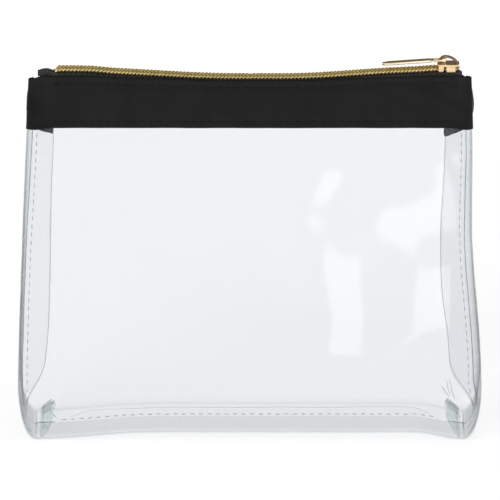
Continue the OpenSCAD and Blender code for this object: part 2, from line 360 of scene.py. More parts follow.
flapFilm, baseFilm, cornerFilm, filmEdgeAndFoldShade, paleEdge, joinFilm = [
    clearFilm(name, {**filmLook, **changes}) for name, changes in otherFilms.items()]
satin = satinCloth()
tapeCloth = wovenTape()
coilGold = goldMetal("coilGold", (0.95, 0.76, 0.34), (0.62, 0.44, 0.12), 0.20, 0.34, metal=0.85)
bodyGold = goldMetal("bodyGold", (0.95, 0.74, 0.47), (0.72, 0.50, 0.26), 0.12, 0.24)
# the bridge is the slider's gold darkened to brown: a painted shade copy standing in for the dark reflections
# on it
shadedBridgeGold = goldMetal("shadedBridgeGold", (0.38, 0.25, 0.16), (0.20, 0.12, 0.07), 0.16, 0.28)
pullGold = goldMetal("pullGold", (0.98, 0.82, 0.58), (0.83, 0.62, 0.36), 0.10, 0.20)
filmThread = sewingThread("filmThread", (0.30, 0.35, 0.37), 0.1)
bandThread = sewingThread("bandThread", (0.0022, 0.002, 0.002), 0.0)
print("stage: materials made")


def newShape():
    return {"points": [], "faces": [], "looks": []}  # looks: the material number of each face


def addGrid(shape, rows, flip=False, look=0):
    # rows of points become a sheet; flip turns its faces to look the other way
    # look is the faces' material number, or a function that gives it for each row
    first = len(shape["points"])
    wide = len(rows[0])
    for row in rows:
        shape["points"].extend(tuple(point) for point in row)
    for i in range(len(rows) - 1):
        low = first + i * wide
        high = low + wide
        for j in range(wide - 1):
            face = (low + j, low + j + 1, high + j + 1, high + j)
            shape["faces"].append(face[::-1] if flip else face)
            shape["looks"].append(look(i) if callable(look) else look)


def addRings(shape, rings):
    # rings with the same number of points become a closed bar
    first = len(shape["points"])
    sides = len(rings[0])
    last = len(rings) - 1
    for ring in rings:
        shape["points"].extend(tuple(point) for point in ring)
    for i in range(last):
        for k in range(sides):
            a = first + i * sides + k
            b = first + i * sides + (k + 1) % sides
            shape["faces"].append((a, b, b + sides, a + sides))
    shape["faces"].append(tuple(first + k for k in reversed(range(sides))))
    shape["faces"].append(tuple(first + last * sides + k for k in range(sides)))


def addTube(shape, line, radius, sides=6):
    # a closed tube along a line of points; radius is a number or a function of the share along the line
    rings = []
    last = len(line) - 1
    side = Vector((0, 0, 1))
    for i, point in enumerate(line):
        along = (line[min(i + 1, last)] - line[max(i - 1, 0)]).normalized()
        side = side - along * side.dot(along)
        side = side.normalized() if side.length > 1e-6 else along.orthogonal().normalized()
        other = along.cross(side)
        size = radius(i / last) if callable(radius) else radius
        rings.append([point + (side * math.cos(turn) + other * math.sin(turn)) * size
                      for turn in [2 * math.pi * k / sides for k in range(sides)]])
    addRings(shape, rings)


def hideJoin(item, test, look="joinFilm"):
    # where two pieces of one film meet, the cut faces are left clear and the shading runs straight across
    data = item.data
    rim = len(data.materials) - 1
    hidden = data.materials.find(look)
    hard = set()
    for polygon in data.polygons:
        if polygon.material_index == rim and test(polygon.center):
            hard.update(polygon.edge_keys)
            if hidden >= 0:
                polygon.material_index = hidden
    for edge in data.edges:
        if edge.key in hard:
            edge.use_edge_sharp = True


def settle(item):
    # works the modifiers into the mesh, so that what is seen is the mesh itself
    bpy.context.view_layer.update()
    graph = bpy.context.evaluated_depsgraph_get()
    final = bpy.data.meshes.new_from_object(item.evaluated_get(graph))
    item.modifiers.clear()
    old = item.data
    item.data = final
    bpy.data.meshes.remove(old)


def makePiece(name, shape, materials, thick=None, bevel=None, subdivide=0, inward=-1.0):
    data = bpy.data.meshes.new(name)
    data.from_pydata(shape["points"], [], shape["faces"])
    for polygon, look in zip(data.polygons, shape["looks"]):
        polygon.material_index = look
    data.validate()
    item = bpy.data.objects.new(name, data)
    scene.collection.objects.link(item)
    for material in materials:
        data.materials.append(material)
    for polygon in data.polygons:
        polygon.use_smooth = True
    if subdivide:
        more = item.modifiers.new("finer", "SUBSURF")
        more.levels = more.render_levels = subdivide
    if thick:
        shell = item.modifiers.new("thickness", "SOLIDIFY")
        shell.thickness = thick
        shell.offset = inward
        shell.use_even_offset = False
        shell.material_offset_rim = len(materials) - 1
    if bevel:
        rounded = item.modifiers.new("softEdges", "BEVEL")
        rounded.width = bevel
        rounded.segments = 3
        rounded.limit_method = "ANGLE"
        rounded.angle_limit = math.radians(28)
        rounded.harden_normals = False
    settle(item)
    if bevel:
        item.data.shade_smooth()
        keep = item.modifiers.new("faces", "WEIGHTED_NORMAL")
        keep.keep_sharp = True
        settle(item)
    return item


def ease(share):
    share = max(0.0, min(1.0, share))
    return share * share * (3 - 2 * share)


def ripple(x, z, size, seed):
    return noise.noise(Vector((x / size + seed, z / size, seed * 1.7)))


pouch = {
    "mouthHalf": 96.0 * mm,     # half the width at the zip
    "floorHalf": 93.4 * mm,     # half the width of the flat base
    "belly": 24.0 * mm,         # height at which it is widest
    "fold": 3.0 * mm,           # radius between wall and base
    "mouthDepth": 6.6 * mm,     # half the depth at the zip
    "valleyLeft": 1.5 * mm,     # how far the side seams are drawn in
    "valleyRight": 3.3 * mm,
    "arch": 3.1 * mm,           # rise of the base between its corners
    "film": 0.45 * mm,
    "allowance": 9.2 * mm,
    "stitchPitch": 3.74 * mm,
}
panelLow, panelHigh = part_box("front_panel")
coilLow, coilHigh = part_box("front_coil")
bellyHalf = panelHigh.x
baseHalf = -panelLow.y
zipHeight = (coilLow.z + coilHigh.z) / 2
filmTop = panelHigh.z
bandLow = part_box("front_band")[0].z - 0.3 * mm
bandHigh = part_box("front_band")[1].z
lipHinge = 3.6 * mm             # height at which the back wall leaves the base
frontSeed, backSeed = 1.3, 6.1  # start the slow dents of each wall
flatShare, turnShare = 0.7, 0.86  # along a wall: flat to the first, round the corner to the second


def halfWidth(z):
    if z < pouch["belly"]:
        drop = 1 - math.sqrt(max(0.0, 1 - (1 - max(z, 0) / pouch["belly"]) ** 2))
        return bellyHalf - (bellyHalf - pouch["floorHalf"]) * drop
    share = (z - pouch["belly"]) / (zipHeight - pouch["belly"])
    return bellyHalf - (bellyHalf - pouch["mouthHalf"]) * share ** 1.2


def halfDepth(z):
    if z < pouch["fold"]:
        return baseHalf - pouch["fold"] * (1 - math.sqrt(max(0.0, 1 - (1 - max(z, 0) / pouch["fold"]) ** 2)))
    share = (z - pouch["fold"]) / (zipHeight - pouch["fold"])
    return baseHalf - (baseHalf - pouch["mouthDepth"]) * share


def baseRise(x):
    return pouch["arch"] * ease((x + 95 * mm) / (55 * mm)) * ease((93 * mm - x) / (22 * mm))


def zipSag(x):
    # the closed zip is a little slack: it droops between the slider and the far end
    middle = -3.0 * mm * ease((x + 80 * mm) / (75 * mm)) * ease((75 * mm - x) / (60 * mm))
    slack = -0.2 * mm * ease((76 * mm - x) / (12 * mm))
    slack -= 0.55 * mm * ease((81 * mm - x) / (9 * mm)) * ease((x + 70 * mm) / (12 * mm))
    return middle + slack - 1.1 * mm * ease((-82.6 * mm - x) / (4 * mm))


def sideWidth(z, side):
    # the right side is drawn in between the band and the foot
    pulled = 2.4 * mm * math.exp(-((z - 85 * mm) / (38 * mm)) ** 2) if side > 0 else 0.0
    return halfWidth(z) - pulled


def valleyAt(z, side):
    deep = pouch["valleyRight"] if side > 0 else pouch["valleyLeft"]
    higher = ease((z - 70 * mm) / (60 * mm)) * 0.8 * mm
    return (deep - math.copysign(higher, side)) * (0.12 + 0.88 * ease((z - 8 * mm) / (14 * mm)))


def cornerAt(z):
    # crisp at the foot and below the zip, softer between
    size = 3.0 * mm + 4.0 * mm * ease(z / (34 * mm)) - 4.4 * mm * ease((z - 70 * mm) / (60 * mm))
    return min(size, halfDepth(z) * 0.8)


def mouthPinch(x, z):
    # the side seams hold the two walls together at the ends of the zip
    ends = max(ease((-83 * mm - x) / (11 * mm)), ease((x - 88 * mm) / (8 * mm)))
    return 1 - 0.66 * ends * ease((z - 136 * mm) / (22 * mm))


def sidePoint(z, share, margin=0.0, valley=None):
    # share is 0 in the middle of the wall and 1 or -1 at a side seam; the front wall is at negative y
    inset = valleyAt(z, share) if valley is None else valley
    wide = sideWidth(z, share) + margin
    deep = halfDepth(z) + margin
    curve = cornerAt(z) + max(margin, -1.2 * mm)
    gap = 0.3 * mm
    s = abs(share)
    if s < flatShare:
        x = (wide - curve) * s / flatShare
        y = -deep
    elif s < turnShare:
        turn = (s - flatShare) / (turnShare - flatShare) * math.pi / 2
        x = wide - curve + curve * math.sin(turn)
        y = -deep + curve - curve * math.cos(turn)
    else:
        u = (s - turnShare) / (1 - turnShare)
        x = wide - inset * u ** 1.8
        y = -(deep - curve) + (deep - curve - gap) * u
    x = math.copysign(x, share) if share else 0.0
    return Vector((x, y * mouthPinch(x, z), z))


def wallShift(x, z, seed):
    # slow bows and dents of the flexible film, fading out at the seams, the fold and the band
    inside = ease((bellyHalf - abs(x)) / (14 * mm)) * ease(z / (16 * mm))
    inside *= ease((bandLow + 8 * mm - z) / (22 * mm))
    slow = 1.1 * mm * ripple(x, z, 62 * mm, seed) + 0.45 * mm * ripple(x, z, 24 * mm, seed + 3)
    bow = 0.9 * mm * math.sin(math.pi * min(1, z / bandLow))
    return (slow + bow) * inside


def wallPoint(z, share, back, seed):
    point = sidePoint(z, share)
    point.y -= wallShift(point.x, z, seed)
    point.z += baseRise(point.x) * (1 - ease(z / (30 * mm)))
    edge = ease((abs(share) - 0.7) / 0.2) * ease((bandLow - z) / (20 * mm))
    tuck = math.copysign(0.35 * mm * ease((z - bandLow) / (4 * mm)), share)  # the film hides behind the band
    point.x -= tuck * ease((abs(share) - 0.6) / 0.2)
    point.y += 0.7 * mm * ease((z - bandLow - 0.5 * mm) / (4 * mm)) * min(1.0, -point.y / (2 * mm))
    wave = ripple(z, point.x, 22 * mm, seed + (9 if share > 0 else 5))
    point.x += math.copysign(edge * 0.5 * mm * wave, share)
    if back:
        point.y = -point.y
    return point


def shares(low, high, count):
    return [low + (high - low) * i / (count - 1) for i in range(count)]


def columnShares(part):
    full = {"whole": (-1.0, 1.0, 121), "left": (-1.0, 0.0, 61), "right": (0.0, 1.0, 61)}[part]
    return shares(*full)


def wallHeights(low, high):
    steps = [0, 0.3, 0.8, 1.5, 2.4, 3.6, 5, 7, 9.5, 12, 15, 18, 21, 24, 28]
    steps += [32 + 4 * i for i in range(40)]
    return [low] + [step * mm for step in steps if low < step * mm < high - 1 * mm] + [high]


def baseRows(columns, back, rowCount=9):
    # from the seam along the middle of the base out to the fold at the foot of the wall
    rows = []
    for share in shares(0.0, 1.0, rowCount)[:-1]:
        row = []
        for column in columns:
            foot = sidePoint(0, column)
            lift = baseRise(foot.x) + pouch["film"] + 0.4 * mm * (1 - share)
            y = -0.25 * mm + (foot.y + 0.25 * mm) * share
            row.append(Vector((foot.x, -y if back else y, lift)))
        rows.append(row)
    return rows


def layerRows(side, dist, heights, y, spread, seed, foot):
    # a side seam's allowance, standing inwards from the valley, with a wavy raw edge
    rows = []
    for z in heights:
        row = []
        wave = 1 + 0.05 * ripple(z, 0, 17 * mm, seed) + 0.20 * math.exp(-((z - 60 * mm) / (34 * mm)) ** 2)
        wave *= 0.06 + 0.94 * ease((z - 5 * mm) / (24 * mm))
        low = 1 - ease((z - foot) / (45 * mm))
        for share in shares(0.0, 1.0, 6):
            inwards = dist * wave * share
            x = sideWidth(z, side) - valleyAt(z, side) - 0.2 * mm - inwards
            part = spread * share * (0.35 + low + 0.8 * ripple(z, 1, 30 * mm, seed + 2))
            row.append(Vector((side * x, y + math.copysign(part, y), z)))
        rows.append(row)
    return rows


cutEdges = []  # lines along the raw edges, drawn later as fine ribs
baseEdges = []


def addSideFlaps(shape, back, seed):
    top = bandLow - 0.3 * mm
    low = 9 * mm
    heights = [low + (top - low) * i / 44 for i in range(45)]
    sign = 1 if back else -1
    for side in (-1, 1):
        rows = layerRows(side, pouch["allowance"], heights, sign * 0.42 * mm, 0.8 * mm, seed + side, low)
        addGrid(shape, rows, flip=(side > 0) == back, look=1 if side < 0 and not back else 0)
        cutEdges.append([row[-1] for row in rows])


def addBaseFlap(shape, back):
    # the allowance along the middle of the base leans over towards the back
    half = pouch["floorHalf"] - 9 * mm
    rows = []
    lift = 0.75 * mm if back else 1.35 * mm
    for share in shares(0.0, 1.0, 7):
        row = []
        for i in range(90):
            x = -half + 2 * half * i / 89
            wave = (1 + 0.12 * ripple(x, 0, 21 * mm, 4.4)) * (0.05 + 0.95 * ease((half - abs(x)) / (15 * mm)))
            raised = (0.5 if back else 0.9) * mm * ease(share) * (0.8 + 0.9 * ripple(x, 3, 34 * mm, 8.1))
            y = (0.35 if back else -0.45) * mm + pouch["allowance"] * wave * share
            row.append(Vector((x, y, baseRise(x) + lift + raised + 0.2 * mm)))
        rows.append(row)
    addGrid(shape, rows, flip=True, look=1)
    if not back:
        baseEdges.append(rows[-1][3:-3])


def addCornerFlaps(shape, back):
    # the cross seams of the boxed corners: short flaps that lean in from both ends of the base
    low, high = (0.4 * mm, 22.5 * mm) if back else (-22.5 * mm, -0.4 * mm)
    for side in (-1, 1):
        for layer in range(2):
            rows = []
            for share in shares(0.0, 1.0, 6):
                row = []
                for i in range(16):
                    y = low + (high - low) * i / 15
                    bow = 1 - (y / (24 * mm)) ** 2
                    ends = 1 - abs(y / (23.5 * mm)) ** 5
                    reach = 8.6 * mm * share * ends * (1 + 0.10 * ripple(y, layer, 9 * mm, 3 + side))
                    lean = 0.62 + 0.16 * ripple(y, share, 12 * mm, 6 + side + layer)
                    x = pouch["floorHalf"] - 1.6 * mm - lean * reach - 0.7 * mm * layer
                    z = 0.8 * mm + 4.0 * mm * bow + (0.50 - 0.10 * layer) * reach + baseRise(side * x)
                    row.append(Vector((side * x, y, z)))
                rows.append(row)
            addGrid(shape, rows, flip=side < 0, look=2)


creases = [  # short folds in the film where the corners are boxed: x, z, x, z, height
    (84, 26, 92, 20, 0.55), (85, 30, 93, 19.5, 0.4), (88, 29, 95.5, 18, 0.5), (70, 9, 90, 15, 0.35),
    (-92, 24, -84, 17, 0.4), (-94, 30, -88, 20, 0.4), (-88, 12, -70, 7, 0.3), (-60, 5, -48, 16, 0.25),
    (52, 4, 62, 15, 0.25), (86, 128, 94, 112, 0.3), (-94, 126, -87, 108, 0.3), (20, 5, 26, 13, 0.18),
]


def creaseShift(x, z):
    total = 0.0
    for ax, az, bx, bz, height in creases:
        ax, az, bx, bz = ax * mm, az * mm, bx * mm, bz * mm
        length = math.hypot(bx - ax, bz - az)
        along = ((x - ax) * (bx - ax) + (z - az) * (bz - az)) / length ** 2
        if -0.3 < along < 1.3:
            across = ((x - ax) * (bz - az) - (z - az) * (bx - ax)) / length
            fade = math.sin(math.pi * max(0.0, min(1.0, (along + 0.3) / 1.6)))
            total += height * mm * fade * math.exp(-(across / (1.3 * mm)) ** 2)
    return total


def filmWall(part, back, low, seed):
    rows = []
    for z in wallHeights(low, filmTop):
        row = []
        for share in columnShares(part):
            point = wallPoint(z, share, back, seed)
            point.y += creaseShift(point.x, z) * (-0.7 if back else 1.0)
            row.append(point)
        rows.append(row)
    return rows


def inBaseSeam(centre):
    return centre.z < 9 * mm and abs(centre.x) < 86 * mm and abs(centre.y) < 12 * mm


def atCornerFlap(centre):
    return centre.z < 12 * mm and 80 * mm < abs(centre.x) < 92 * mm and centre.z > 1.4 * mm


def makeFront():
    # the front wall and the front half of the base are cut in one
    shape = newShape()
    addGrid(shape, baseRows(columnShares("whole"), False) + filmWall("whole", False, 0.0, frontSeed))
    addSideFlaps(shape, False, 2.0)
    addBaseFlap(shape, False)
    addCornerFlaps(shape, False)
    looks = [film, flapFilm, cornerFilm, paleEdge, joinFilm, filmEdgeAndFoldShade]
    item = makePiece("frontFilm", shape, looks, thick=pouch["film"], subdivide=1)
    hideJoin(item, inBaseSeam)
    hideJoin(item, atCornerFlap, "paleEdge")
    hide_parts("front_panel")
    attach(item, "root")


def makeBackBase():
    shape = newShape()
    columns = columnShares("whole")
    rows = baseRows(columns, True)
    inBase = len(rows)
    for z in [0, 0.3, 0.8, 1.5, 2.4, 3.3]:
        rows.append([wallPoint(z * mm, share, True, backSeed) for share in columns])
    addGrid(shape, rows, flip=True, look=lambda row: 3 if row < inBase else 0)
    addBaseFlap(shape, True)
    addCornerFlaps(shape, True)
    looks = [film, flapFilm, cornerFilm, baseFilm, paleEdge, joinFilm, filmEdgeAndFoldShade]
    item = makePiece("backBaseFilm", shape, looks, thick=pouch["film"], subdivide=1)
    hideJoin(item, lambda centre: centre.y > 20.9 * mm or abs(centre.x) > 92.6 * mm or inBaseSeam(centre))
    hideJoin(item, atCornerFlap, "paleEdge")
    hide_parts("back_base")
    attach(item, "root")


def bendWithLip(item):
    hideJoin(item, lambda centre: abs(centre.x) < 0.15 * mm or centre.z < 8 * mm)
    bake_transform(item)


def makeBackWall():
    for part in ("left", "right"):
        shape = newShape()
        addGrid(shape, filmWall(part, True, lipHinge, backSeed), flip=True)
        sideFlaps = newShape()
        addSideFlaps(sideFlaps, True, 5.0)
        count = len(sideFlaps["points"]) // 2
        start = 0 if part == "left" else count  # this half's flap only
        first = len(shape["points"])
        shape["points"].extend(sideFlaps["points"][start:start + count])
        shape["faces"].extend(tuple(first + k - start for k in face) for face in sideFlaps["faces"]
                              if start <= face[0] < start + count)
        shape["looks"].extend([0] * (len(shape["faces"]) - len(shape["looks"])))
        looks = [film, joinFilm, filmEdgeAndFoldShade]
        item = makePiece("backFilm" + part.title(), shape, looks, thick=pouch["film"], subdivide=1)
        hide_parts("back_panel")
        bendWithLip(item)


def onFrontWall(x, z):
    # the point of the front wall at a given width and height, found by halving
    low, high = 0.0, turnShare
    for _ in range(18):
        middle = (low + high) / 2
        if sidePoint(z, math.copysign(middle, x)).x * math.copysign(1, x) < abs(x):
            low = middle
        else:
            high = middle
    return wallPoint(z, math.copysign(low, x), False, frontSeed)


def creaseLine(ax, az, bx, bz):
    line = []
    for i in range(9):
        x, z = (ax + (bx - ax) * i / 8) * mm, (az + (bz - az) * i / 8) * mm
        point = onFrontWall(x + 0.10 * mm * math.sin(i * 1.1), z)
        line.append(point + Vector((0, creaseShift(x, z) * -0.9 - 0.06 * mm, 0)))
    return line


def ribs(name, lines, radius, material):
    def taper(share):
        return radius * (0.3 + 0.7 * math.sin(math.pi * min(max(share, 0.03), 0.97)) ** 0.3)

    shape = newShape()
    for line in lines:
        addTube(shape, line, taper)
    item = makePiece(name, shape, [material])
    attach(item, "root")


def makeCutEdges():
    # the raw edges catch the light as fine lines, drawn as thin tinted ribs; a few sharp fold marks near the
    # corners get darker ribs, painted shade lines that stand for the shade along the folds
    ribs("sideCutEdges", cutEdges, 0.17 * mm, paleEdge)
    ribs("baseCutEdge", baseEdges, 0.15 * mm, paleEdge)
    ribs("foldShadeLines", [creaseLine(*mark) for mark in foldShadeLines], 0.15 * mm, filmEdgeAndFoldShade)


# where the darker ribs paint the shade along the folds in the film
foldShadeLines = [  # x, z, x, z
    (83.5, 24.5, 87.0, 19.5), (85.8, 27.0, 87.2, 20.5), (87.0, 27.5, 89.2, 18.5), (88.5, 15.5, 92.0, 10.5),
    (98.6, 8.0, 95.6, 3.6), (96.8, 9.0, 94.6, 5.0), (-91.0, 9.5, -88.5, 5.5), (-97.0, 6.0, -95.0, 3.4),
    (-87.5, 14.0, -84.5, 10.0),
]
makeFront()
makeBackBase()
makeBackWall()
makeCutEdges()
print("stage: film made")

band = {
    "outer": 0.50 * mm,        # how far the cloth stands off the film outside
    "inner": -1.10 * mm,
    "cloth": 0.38 * mm,
    "hemRow": 2.9 * mm,        # stitch rows, from the hem and from the top fold
    "topRow": 2.6 * mm,
    "pucker": 0.27 * mm,
    "endDrop": 3.4 * mm,       # cloth allowance that shows below the hem at the sides
    "frontSeed": 3.3,          # start the puckers of each band
    "backSeed": 7.7,
    "cutWidth": 45.0 * mm,     # the strip laid flat, as long as its folded path; no turned-in edges
    "cutLength": 203.0 * mm,
}
bandTop = bandHigh - 1.75 * mm


def bandSag(x, z, back=False):
    share = 0.82 if back else 0.55
    slack = zipSag(x) * share - (0.5 * mm if back else 0.0)
    upper = ease((z - bandLow) / (bandTop - bandLow))
    ends = ease((abs(x) - 86 * mm) / (8 * mm)) * (1 - upper) * 0.9
    ends += ease((abs(x) - 89 * mm) / (6 * mm)) * upper * 1.9
    droop = (ends + (0.9 if back else 0.0) * upper * ease((abs(x) - 86 * mm) / (6 * mm))) * mm
    return slack * upper - droop


def bandOut(x, z, seed):
    # puckers along both stitch rows, soft pleats between them, and drag lines beside the slider
    hem = math.exp(-((z - bandLow - band["hemRow"]) / (1.5 * mm)) ** 2)
    top = math.exp(-((z - bandTop + band["topRow"]) / (1.4 * mm)) ** 2)
    beat = 0.5 + 0.5 * math.cos(2 * math.pi * x / pouch["stitchPitch"])
    pinch = -band["pucker"] * (hem + top) * (0.9 + 0.9 * beat)
    between = math.sin(math.pi * max(0, min(1, (z - bandLow) / (bandTop - bandLow))))
    small = 0.42 * mm * ripple(x, z * 0.35, 6.5 * mm, seed)
    pleat = between * (small + 0.55 * mm * ripple(x, z, 26 * mm, seed + 4))
    near = ease((x - 52 * mm) / (30 * mm)) * ease((97 * mm - x) / (8 * mm))
    drag = near * 0.5 * mm * math.sin((x * 0.8 + (z - bandLow) * 1.7) / (2.6 * mm)) * between
    fine = 0.06 * mm * ripple(x, z, 1.7 * mm, seed + 8)
    return pinch + pleat + drag * 0.6 + fine + 0.25 * mm * between


def bandRows(part, back, seed):
    columns = columnShares(part)
    finer = []
    for i, share in enumerate(columns[:-1]):  # two steps for every step of the film
        finer.extend([share, (share + columns[i + 1]) / 2])
    columns = finer + [columns[-1]]
    layers = []
    steps = 22
    for i in range(steps + 1):
        layers.append((bandLow + (bandTop - bandLow) * i / steps, band["outer"], 1.0))
    for i in range(1, 6):  # over the fold at the top
        turn = math.pi * i / 6
        middle = (band["outer"] + band["inner"]) / 2
        radius = (band["outer"] - band["inner"]) / 2
        layers.append((bandTop + radius * 0.7 * math.sin(turn), middle + radius * math.cos(turn), 0.4))
    for i in range(9):
        layers.append((bandTop - (bandTop - bandLow - 0.5 * mm) * i / 8, band["inner"], 0.0))
    rows = []
    for z, margin, share in layers:
        row = []
        for column in columns:
            point = sidePoint(min(z, zipHeight), column, margin, valley=1.1 * mm)
            soft = bandOut(point.x, z, seed) * ease((1 - abs(column)) / 0.1)
            soft = max(soft, -0.5 * mm + 0.42 * mm * ease((abs(column) - 0.6) / 0.2))
            if share < 0.5:
                soft = min(soft, 0.0) * 0.5
            turned = ease((abs(column) - flatShare) / 0.15)
            normal = Vector((math.copysign(turned, point.x), turned - 1, 0))
            point += normal.normalized() * soft
            point.z = z + bandSag(point.x, z, back) + 0.18 * mm * ripple(point.x, 0, 19 * mm, seed + 6)
            if back:
                point.y = -point.y
            row.append(point)
        rows.append(row)
    return rows


def addBandEnds(shape, back, sides, seed):
    # the cloth's own side allowance, seen through the film below the hem
    sign = 1 if back else -1
    for side in sides:
        rows = []
        for i in range(9):
            share = i / 8
            row = []
            for k in range(7):
                x = sideWidth(bandLow, side) - 2.4 * mm - (9.4 + 0.5 * side) * mm * k / 6
                inwards = k / 6
                drop = 2.4 * mm + (band["endDrop"] + side * 0.8 * mm) * inwards ** 0.8
                drop += 0.5 * mm * math.sin(k * 2.6 + side) * inwards
                z = bandLow + 6 * mm - (6 * mm + drop) * share
                row.append(Vector((side * x, sign * (0.95 + 0.25 * ripple(x, z, 4 * mm, seed)) * mm, z)))
            rows.append(row)
        addGrid(shape, rows, flip=(side > 0) == back)


def makeBands():
    shape = newShape()
    addGrid(shape, bandRows("whole", False, band["frontSeed"]))
    addBandEnds(shape, False, (-1, 1), 1.0)
    item = makePiece("frontBand", shape, [satin], thick=band["cloth"], subdivide=1)
    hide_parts("front_band")
    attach(item, "root")
    for part in ("left", "right"):
        shape = newShape()
        addGrid(shape, bandRows(part, True, band["backSeed"]), flip=True)
        addBandEnds(shape, True, (-1,) if part == "left" else (1,), 2.0)
        item = makePiece("backBand" + part.title(), shape, [satin], thick=band["cloth"], subdivide=1)
        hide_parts("back_band")
        bendWithLip(item)


makeBands()
print("stage: bands made")

tape = {"width": 4.9 * mm, "thick": 0.45 * mm, "drop": 13.5 * mm, "half": 92.4 * mm}
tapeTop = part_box("front_tape")[1].z


def tapeRows(low, high, back):
    rows = []
    count = max(8, int((high - low) / (1.6 * mm)))
    inner = 0.6 * mm
    for i in range(count + 1):
        x = low + (high - low) * i / count
        tail = ease((-84.5 * mm - x) / (3.5 * mm))
        end = max(0.0, (abs(x) - tape["half"] + 3 * mm) / (3 * mm))
        wide = tape["width"] * (1 - 0.45 * end ** 2)
        z = tapeTop + zipSag(x) * (1 - 0.6 * tail) + 1.1 * mm * tail - 0.6 * mm * end * tail
        z -= 0.9 * mm * ease((x - 91 * mm) / (1.4 * mm))
        wide *= 1 - 0.35 * tail
        row = []
        for share in shares(0.0, 1.0, 6):
            bow = 0.08 * mm * math.sin(math.pi * share) * (1 + 0.6 * ripple(x, 0, 9 * mm, 2.2))
            row.append(Vector((x, -(inner + (wide - inner) * share), z - bow * (1 - tail))))
        for share in shares(0.0, 1.0, 7)[1:]:
            fall = tape["drop"] * (1 - 0.86 * max(tail, ease((x - 87 * mm) / (3 * mm))))
            row.append(Vector((x, -wide - 0.15 * mm * share * (1 - tail), z - fall * share)))
        if back:
            row = [Vector((point.x, -point.y, point.z)) for point in row]
        rows.append(row)
    return rows


def makeTapes():
    pieces = [("frontTape", -tape["half"], tape["half"], None),
              ("backTapeLeft", -tape["half"], 0.0, "left"),
              ("backTapeRight", 0.0, tape["half"], "right")]
    for name, low, high, part in pieces:
        shape = newShape()
        addGrid(shape, tapeRows(low, high, part is not None), flip=part is None)
        item = makePiece(name, shape, [tapeCloth], thick=tape["thick"], subdivide=1, inward=1.0)
        if part is None:
            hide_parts("front_tape")
            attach(item, "root")
        else:
            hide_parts("back_tape", "back_tape_ends")
            bendWithLip(item)


coil = {
    "pitch": 1.6 * mm, "wire": 0.34 * mm, "flat": 0.70 * mm, "core": 0.66 * mm,
    "reach": 1.05 * mm, "height": 0.80 * mm, "middle": 1.61 * mm, "steps": 14,
    "start": -84.6 * mm, "end": 90.6 * mm,
    "lean": 0.45 * mm,          # slant across the coil, and up its face
    "rake": 0.62 * mm,
}


def coilLine(low, high, back):
    # a monofilament wound into a flattened coil; each turn leans a little along the zip
    turns = (high - low) / coil["pitch"]
    count = int(turns * coil["steps"])
    line = []
    for i in range(count + 1):
        turn = 2 * math.pi * i / coil["steps"] + (math.pi if back else 0.0)
        across = math.copysign(abs(math.cos(turn)) ** 0.75, math.cos(turn))
        upward = math.copysign(abs(math.sin(turn)) ** 0.85, math.sin(turn))
        x = low + coil["pitch"] * i / coil["steps"] + coil["lean"] * across + coil["rake"] * upward
        y = -coil["middle"] + coil["reach"] * across
        z = zipHeight + zipSag(x) + coil["height"] * upward
        line.append(Vector((x, -y if back else y, z)))
    return line


def addCoil(shape, low, high, back):
    # the wire is pressed flat, so each turn lies close against the next
    line = coilLine(low, high, back)
    sides = 8
    rings = []
    for i, point in enumerate(line):
        middle = Vector((point.x, coil["middle"] * (1 if back else -1), zipHeight + zipSag(point.x)))
        outward = (point - middle).normalized()
        taper = 1 if 3 < i < len(line) - 4 else 0.5
        ring = []
        for k in range(sides):
            turn = 2 * math.pi * k / sides * (-1 if back else 1)
            spread = Vector((coil["flat"] * math.cos(turn), 0, 0)) + outward * coil["wire"] * math.sin(turn)
            ring.append(point + spread * taper)
        rings.append(ring)
    addRings(shape, rings)


def makeCoils():
    middle = coil["start"] + coil["pitch"] * round(-coil["start"] / coil["pitch"])
    pieces = [("frontCoil", coil["start"], coil["end"], None),
              ("backCoilLeft", coil["start"], middle, "left"),
              ("backCoilRight", middle, coil["end"], "right")]
    for name, low, high, part in pieces:
        shape = newShape()
        addCoil(shape, low, high, part is not None)
        sign = -1 if part is None else 1
        core = [Vector((x, sign * coil["middle"], zipHeight + zipSag(x)))
                for x in shares(low + 0.4 * mm, high - 0.4 * mm, 80)]
        addTube(shape, core, coil["core"], sides=8)  # filler cord inside the turns
        item = makePiece(name, shape, [coilGold])
        if part is None:
            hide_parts("front_coil")
            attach(item, "root")
        else:
            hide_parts("back_coil", "back_coil_ends")
            bendWithLip(item)


makeTapes()
makeCoils()
print("stage: zip made")

slider = {"x": 86.3 * mm, "length": 9.6 * mm, "width": 8.0 * mm, "plate": 1.1 * mm, "bevel": 0.28 * mm}
pull = {"length": 27.2 * mm, "width": 3.6 * mm, "thick": 1.2 * mm, "pinX": 84.6 * mm, "pinZ": 166 * mm,
        "slope": 4.1, "bevel": 0.3 * mm}
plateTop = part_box("slider_body")[1].z


def addExtrusion(shape, outline, low, high, place):
    # a flat outline pushed from low to high; place turns (a, b, height) into a point
    first = len(shape["points"])
    count = len(outline)
    for level in (low, high):
        shape["points"].extend(tuple(place(a, b, level)) for a, b in outline)
    for k in range(count):
        n = (k + 1) % count
        shape["faces"].append((first + k, first + n, first + count + n, first + count + k))
    shape["faces"].append(tuple(first + k for k in reversed(range(count))))
    shape["faces"].append(tuple(first + count + k for k in range(count)))


def heartOutline():
    half = slider["length"] / 2
    tail = slider["width"] / 2 - 0.45 * mm
    nose = slider["width"] / 2
    points = [(-half, -tail + 0.8 * mm), (-half + 0.6 * mm, -tail), (half - 3.2 * mm, -nose)]
    for i in range(7):  # the shoulders round off towards the nose
        turn = math.pi / 2 * i / 6
        points.append((half - 2.4 * mm + 2.4 * mm * math.sin(turn), -nose + 2.4 * mm * (1 - math.cos(turn))))
    return points + [(a, -b) for a, b in reversed(points)]


